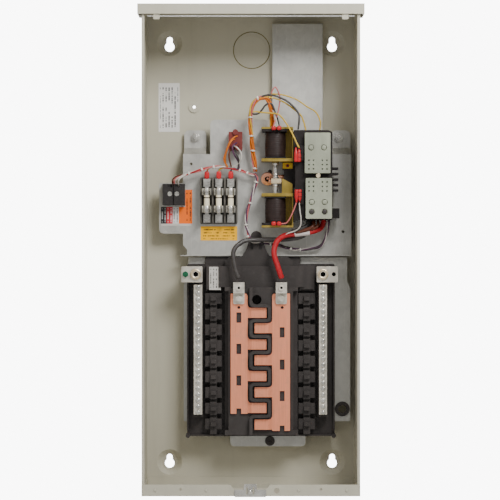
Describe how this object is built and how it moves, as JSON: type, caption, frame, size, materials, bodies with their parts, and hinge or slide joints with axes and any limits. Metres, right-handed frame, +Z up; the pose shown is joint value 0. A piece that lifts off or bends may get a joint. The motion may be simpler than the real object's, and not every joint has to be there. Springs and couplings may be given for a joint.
{
  "type": "transfer switch load centre",
  "caption": "Wall-hung sheet-steel enclosure without its door, with a solenoid transfer switch, fuse block and relay above a moulded breaker base with copper bus bars and neutral bars.",
  "frame": {"origin": "On the wall plane behind the middle of the enclosure, in the plane of the four keyhole pads' back faces", "axes": "+X to the right seen from the front, +Z up, the open front faces -Y and the wall is on the +Y side"},
  "size_m": [0.356, 0.1655, 0.773],
  "materials": {
    "enclosure_paint": "satin",
    "galvanised_sheet": "satin",
    "zinc_steel": "satin",
    "black_moulding": "matte",
    "grey_moulding": "matte",
    "maroon_moulding": "satin",
    "coil_wrap": "satin",
    "yellow_chromate": "satin",
    "copper": "satin",
    "brass": "satin",
    "aluminium": "satin",
    "fuse_ceramic": "satin",
    "green_steel": "satin",
    "black_cable": "matte",
    "red_cable": "matte",
    "wire_loom": "matte"
  },
  "bodies": {
    "enclosure": {"enclosure_shell": "enclosure_paint", "top_hood": "enclosure_paint", "bottom_end_wall": "enclosure_paint", "latch_hasp": "zinc_steel", "barrier_channel": "galvanised_sheet", "transfer_panel": "galvanised_sheet", "panel_stud_left": "zinc_steel", "panel_stud_right": "zinc_steel", "terminal_block": "black_moulding", "terminal_screw_1": "zinc_steel", "terminal_screw_2": "zinc_steel", "fuse_block": "black_moulding", "relay": "maroon_moulding", "coil_upper": "coil_wrap", "coil_lower": "coil_wrap", "coil_frame_upper": "yellow_chromate", "coil_frame_lower": "yellow_chromate", "switch_housing": "black_moulding", "contact_cover_upper": "grey_moulding", "contact_cover_lower": "grey_moulding", "cover_screw": "brass", "limit_switch_upper": "black_moulding", "limit_switch_lower": "black_moulding", "power_cable_black": "black_cable", "power_cable_red": "red_cable", "harness_orange": "wire_loom", "harness_red": "wire_loom", "harness_purple": "wire_loom", "interior_pan": "galvanised_sheet", "interior_base": "black_moulding", "bus_bar_left": "copper", "bus_bar_right": "copper", "bus_lug_left": "aluminium", "bus_lug_right": "aluminium", "neutral_bar_left": "aluminium", "neutral_bar_right": "aluminium", "neutral_lug_left": "aluminium", "neutral_lug_right": "aluminium", "ground_screw": "green_steel", "pan_bushing": "black_moulding", "base_screw_upper": "zinc_steel", "base_screw_lower": "black_moulding", "fuse_clip_upper_1": "zinc_steel", "fuse_clip_lower_1": "zinc_steel", "fuse_clip_upper_2": "zinc_steel", "fuse_clip_lower_2": "zinc_steel", "fuse_clip_upper_3": "zinc_steel", "fuse_clip_lower_3": "zinc_steel"},
    "transfer_shaft": {"transfer_lever": "copper"},
    "plunger": {"plunger_rod": "zinc_steel", "plunger_yoke": "brass", "plunger_core": "zinc_steel"},
    "fuse_cartridge_1": {"fuse_1": "fuse_ceramic"},
    "fuse_cartridge_2": {"fuse_2": "fuse_ceramic"},
    "fuse_cartridge_3": {"fuse_3": "fuse_ceramic"}
  },
  "joints": [
    {"name": "transfer_shaft_turn", "type": "hinge", "parent": "enclosure", "child": "transfer_shaft", "pos_m": [0.0486, -0.052, 0.117], "axis": [-1, 0, 0], "range_deg": [0, 44]},
    {"name": "plunger_travel", "type": "slide", "parent": "enclosure", "child": "plunger", "axis": [0, 0, 1], "range_m": [0, 0.0122]},
    {"name": "fuse_1_pull", "type": "slide", "parent": "enclosure", "child": "fuse_cartridge_1", "axis": [0, -1, 0], "range_m": [0, 0.02]},
    {"name": "fuse_2_pull", "type": "slide", "parent": "enclosure", "child": "fuse_cartridge_2", "axis": [0, -1, 0], "range_m": [0, 0.02]},
    {"name": "fuse_3_pull", "type": "slide", "parent": "enclosure", "child": "fuse_cartridge_3", "axis": [0, -1, 0], "range_m": [0, 0.02]}
  ],
  "couplings": [
    {"joint": "plunger_travel", "follows": "transfer_shaft_turn", "m_per_rad": 0.01563}
  ]
}
